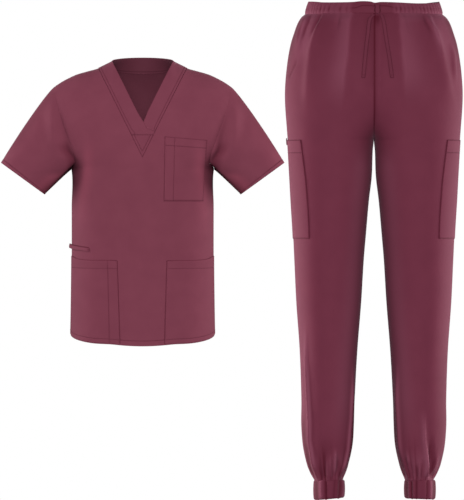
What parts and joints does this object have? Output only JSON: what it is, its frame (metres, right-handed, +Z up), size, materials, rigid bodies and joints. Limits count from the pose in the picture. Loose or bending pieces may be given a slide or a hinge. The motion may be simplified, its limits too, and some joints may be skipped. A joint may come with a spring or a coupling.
{
  "type": "medical scrubs set",
  "caption": "Medical scrubs: a short-sleeved V-neck top with patch pockets beside jogger trousers with cargo pockets, both hollow as if worn.",
  "frame": {"origin": "middle of the top, level with its neck points, in the plane of its side seams, where the wearer's shoulders hold it", "axes": "+Z up, -Y the way the wearer faces, +X to the right as seen from the front, towards the trousers"},
  "size_m": [1.0016, 0.2674, 1.0795],
  "materials": {
    "scrub_cloth": "matt woven twill with a slight sheen",
    "drawstring_tape": "matt flat woven tape"
  },
  "bodies": {
    "root": {"top_front": "scrub_cloth", "top_back": "scrub_cloth", "sleeve_left": "scrub_cloth", "sleeve_right": "scrub_cloth", "neckband_front_left": "scrub_cloth", "neckband_front_right": "scrub_cloth", "neckband_back": "scrub_cloth", "neck_inset": "scrub_cloth", "chest_pocket": "scrub_cloth", "lower_pocket_left": "scrub_cloth", "lower_pocket_right": "scrub_cloth", "side_loop": "scrub_cloth", "trouser_front_left": "scrub_cloth", "trouser_front_right": "scrub_cloth", "trouser_back_left": "scrub_cloth", "trouser_back_right": "scrub_cloth", "waistband": "scrub_cloth", "cuff_left": "scrub_cloth", "cuff_right": "scrub_cloth", "cargo_pocket_left": "scrub_cloth", "cargo_pocket_right": "scrub_cloth", "side_tab": "scrub_cloth", "drawstring_left": "drawstring_tape", "drawstring_right": "drawstring_tape", "drawstring_knot": "drawstring_tape"}
  },
  "joints": []
}
